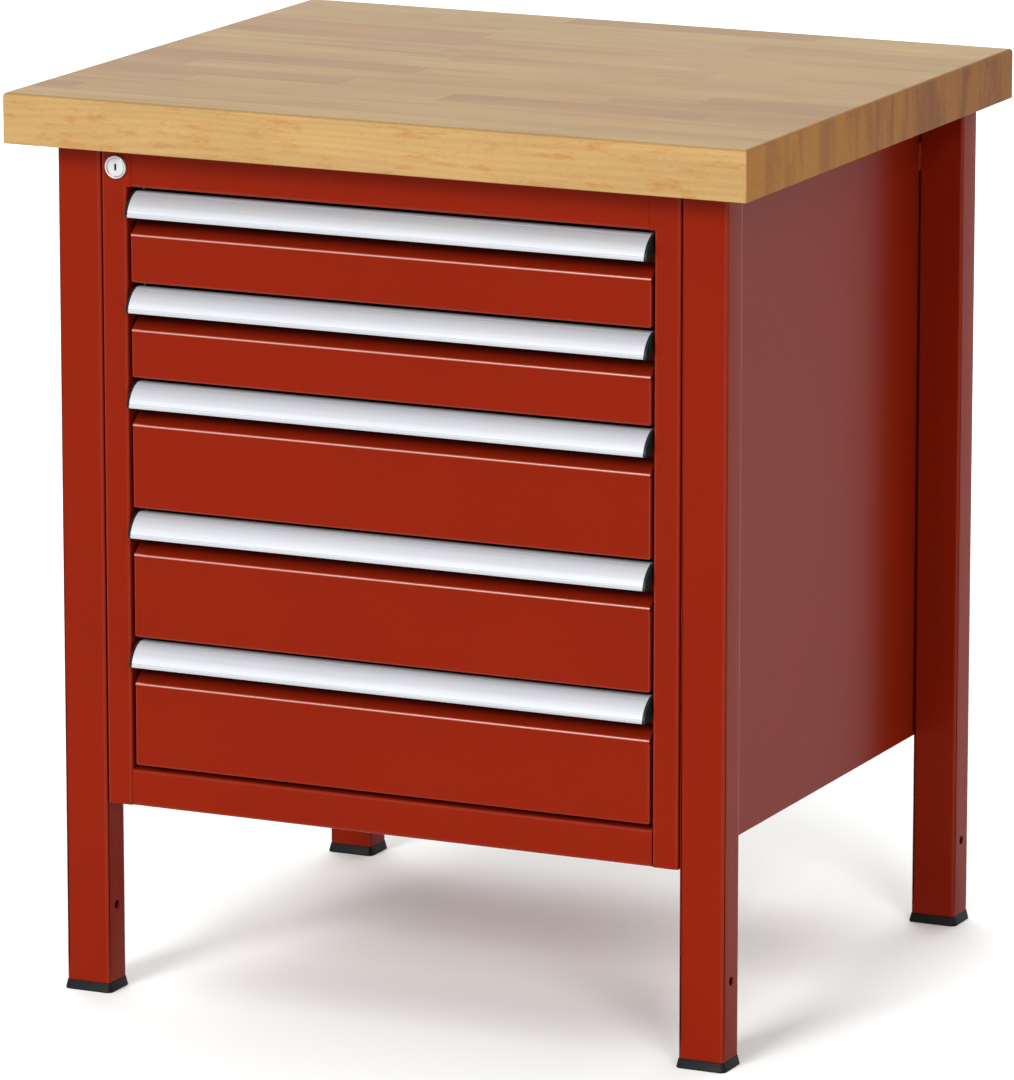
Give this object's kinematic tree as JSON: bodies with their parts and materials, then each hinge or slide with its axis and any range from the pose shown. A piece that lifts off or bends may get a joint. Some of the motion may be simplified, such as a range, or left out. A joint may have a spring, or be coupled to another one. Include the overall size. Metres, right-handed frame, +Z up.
{
  "type": "workbench with drawers",
  "caption": "Steel workbench with a thick beech worktop on four legs and a lockable cabinet of telescopic drawers with curved aluminium pull rails.",
  "frame": {"origin": "on the floor, under the middle of the worktop: the bottom centre of the bounding box", "axes": "+Z up, +X to the right of a person facing the drawers, -Y towards that person (the drawers open along -Y)"},
  "size_m": [0.75, 0.64, 0.865],
  "materials": {
    "beech": "edge-glued beech staves, oiled, satin",
    "red_powder_coat": "fine-textured brick-red powder coat, semi-gloss",
    "grey_powder_coat": "light grey powder coat, satin",
    "black_plastic": "moulded black polyamide, matt",
    "aluminium": "lengthwise brushed and clear anodised",
    "nickel": "satin nickel plate",
    "zinc_steel": "bright zinc plate"
  },
  "bodies": {
    "cabinet": {"worktop": "beech", "leg_front_left": "red_powder_coat", "foot_front_left": "black_plastic", "leg_front_right": "red_powder_coat", "foot_front_right": "black_plastic", "leg_rear_left": "red_powder_coat", "foot_rear_left": "black_plastic", "leg_rear_right": "red_powder_coat", "foot_rear_right": "black_plastic", "back_panel": "red_powder_coat", "bottom_pan": "red_powder_coat", "front_top_rail": "red_powder_coat", "cross_rail_front": "red_powder_coat", "cross_rail_rear": "red_powder_coat", "side_panel_left": "red_powder_coat", "upright_front_left": "zinc_steel", "upright_rear_left": "zinc_steel", "slide_rail_1_left": "zinc_steel", "slide_rail_2_left": "zinc_steel", "slide_rail_3_left": "zinc_steel", "slide_rail_4_left": "zinc_steel", "slide_rail_5_left": "zinc_steel", "side_panel_right": "red_powder_coat", "upright_front_right": "zinc_steel", "upright_rear_right": "zinc_steel", "slide_rail_1_right": "zinc_steel", "slide_rail_2_right": "zinc_steel", "slide_rail_3_right": "zinc_steel", "slide_rail_4_right": "zinc_steel", "slide_rail_5_right": "zinc_steel", "lock_housing": "nickel"},
    "drawer_1": {"drawer_box_1": "grey_powder_coat", "drawer_front_1": "red_powder_coat", "drawer_handle_1": "aluminium"},
    "slide_pair_1": {"slide_middle_1_left": "zinc_steel", "slide_middle_1_right": "zinc_steel"},
    "drawer_2": {"drawer_box_2": "grey_powder_coat", "drawer_front_2": "red_powder_coat", "drawer_handle_2": "aluminium"},
    "slide_pair_2": {"slide_middle_2_left": "zinc_steel", "slide_middle_2_right": "zinc_steel"},
    "drawer_3": {"drawer_box_3": "grey_powder_coat", "drawer_front_3": "red_powder_coat", "drawer_handle_3": "aluminium"},
    "slide_pair_3": {"slide_middle_3_left": "zinc_steel", "slide_middle_3_right": "zinc_steel"},
    "drawer_4": {"drawer_box_4": "grey_powder_coat", "drawer_front_4": "red_powder_coat", "drawer_handle_4": "aluminium"},
    "slide_pair_4": {"slide_middle_4_left": "zinc_steel", "slide_middle_4_right": "zinc_steel"},
    "drawer_5": {"drawer_box_5": "grey_powder_coat", "drawer_front_5": "red_powder_coat", "drawer_handle_5": "aluminium"},
    "slide_pair_5": {"slide_middle_5_left": "zinc_steel", "slide_middle_5_right": "zinc_steel"},
    "lock_plug": {"lock_cylinder": "nickel", "lock_cam": "zinc_steel"},
    "lock_bar": {"lock_bar": "zinc_steel"}
  },
  "joints": [
    {"name": "drawer_1_pull", "type": "slide", "parent": "cabinet", "child": "drawer_1", "axis": [0, -1, 0], "range_m": [0, 0.48]},
    {"name": "slide_pair_1_travel", "type": "slide", "parent": "cabinet", "child": "slide_pair_1", "axis": [0, -1, 0], "range_m": [0, 0.24]},
    {"name": "drawer_2_pull", "type": "slide", "parent": "cabinet", "child": "drawer_2", "axis": [0, -1, 0], "range_m": [0, 0.48]},
    {"name": "slide_pair_2_travel", "type": "slide", "parent": "cabinet", "child": "slide_pair_2", "axis": [0, -1, 0], "range_m": [0, 0.24]},
    {"name": "drawer_3_pull", "type": "slide", "parent": "cabinet", "child": "drawer_3", "axis": [0, -1, 0], "range_m": [0, 0.48]},
    {"name": "slide_pair_3_travel", "type": "slide", "parent": "cabinet", "child": "slide_pair_3", "axis": [0, -1, 0], "range_m": [0, 0.24]},
    {"name": "drawer_4_pull", "type": "slide", "parent": "cabinet", "child": "drawer_4", "axis": [0, -1, 0], "range_m": [0, 0.48]},
    {"name": "slide_pair_4_travel", "type": "slide", "parent": "cabinet", "child": "slide_pair_4", "axis": [0, -1, 0], "range_m": [0, 0.24]},
    {"name": "drawer_5_pull", "type": "slide", "parent": "cabinet", "child": "drawer_5", "axis": [0, -1, 0], "range_m": [0, 0.48]},
    {"name": "slide_pair_5_travel", "type": "slide", "parent": "cabinet", "child": "slide_pair_5", "axis": [0, -1, 0], "range_m": [0, 0.24]},
    {"name": "lock_turn", "type": "hinge", "parent": "cabinet", "child": "lock_plug", "pos_m": [-0.278, -0.28, 0.796], "axis": [0, 1, 0], "range_deg": [0, 90]},
    {"name": "lock_bar_lift", "type": "slide", "parent": "cabinet", "child": "lock_bar", "axis": [0, 0, 1], "range_m": [0, 0.0113]}
  ],
  "couplings": [
    {"joint": "slide_pair_1_travel", "follows": "drawer_1_pull", "ratio": 0.5},
    {"joint": "slide_pair_2_travel", "follows": "drawer_2_pull", "ratio": 0.5},
    {"joint": "slide_pair_3_travel", "follows": "drawer_3_pull", "ratio": 0.5},
    {"joint": "slide_pair_4_travel", "follows": "drawer_4_pull", "ratio": 0.5},
    {"joint": "slide_pair_5_travel", "follows": "drawer_5_pull", "ratio": 0.5},
    {"joint": "lock_turn", "follows": "lock_bar_lift", "rad_per_m": 139}
  ]
}
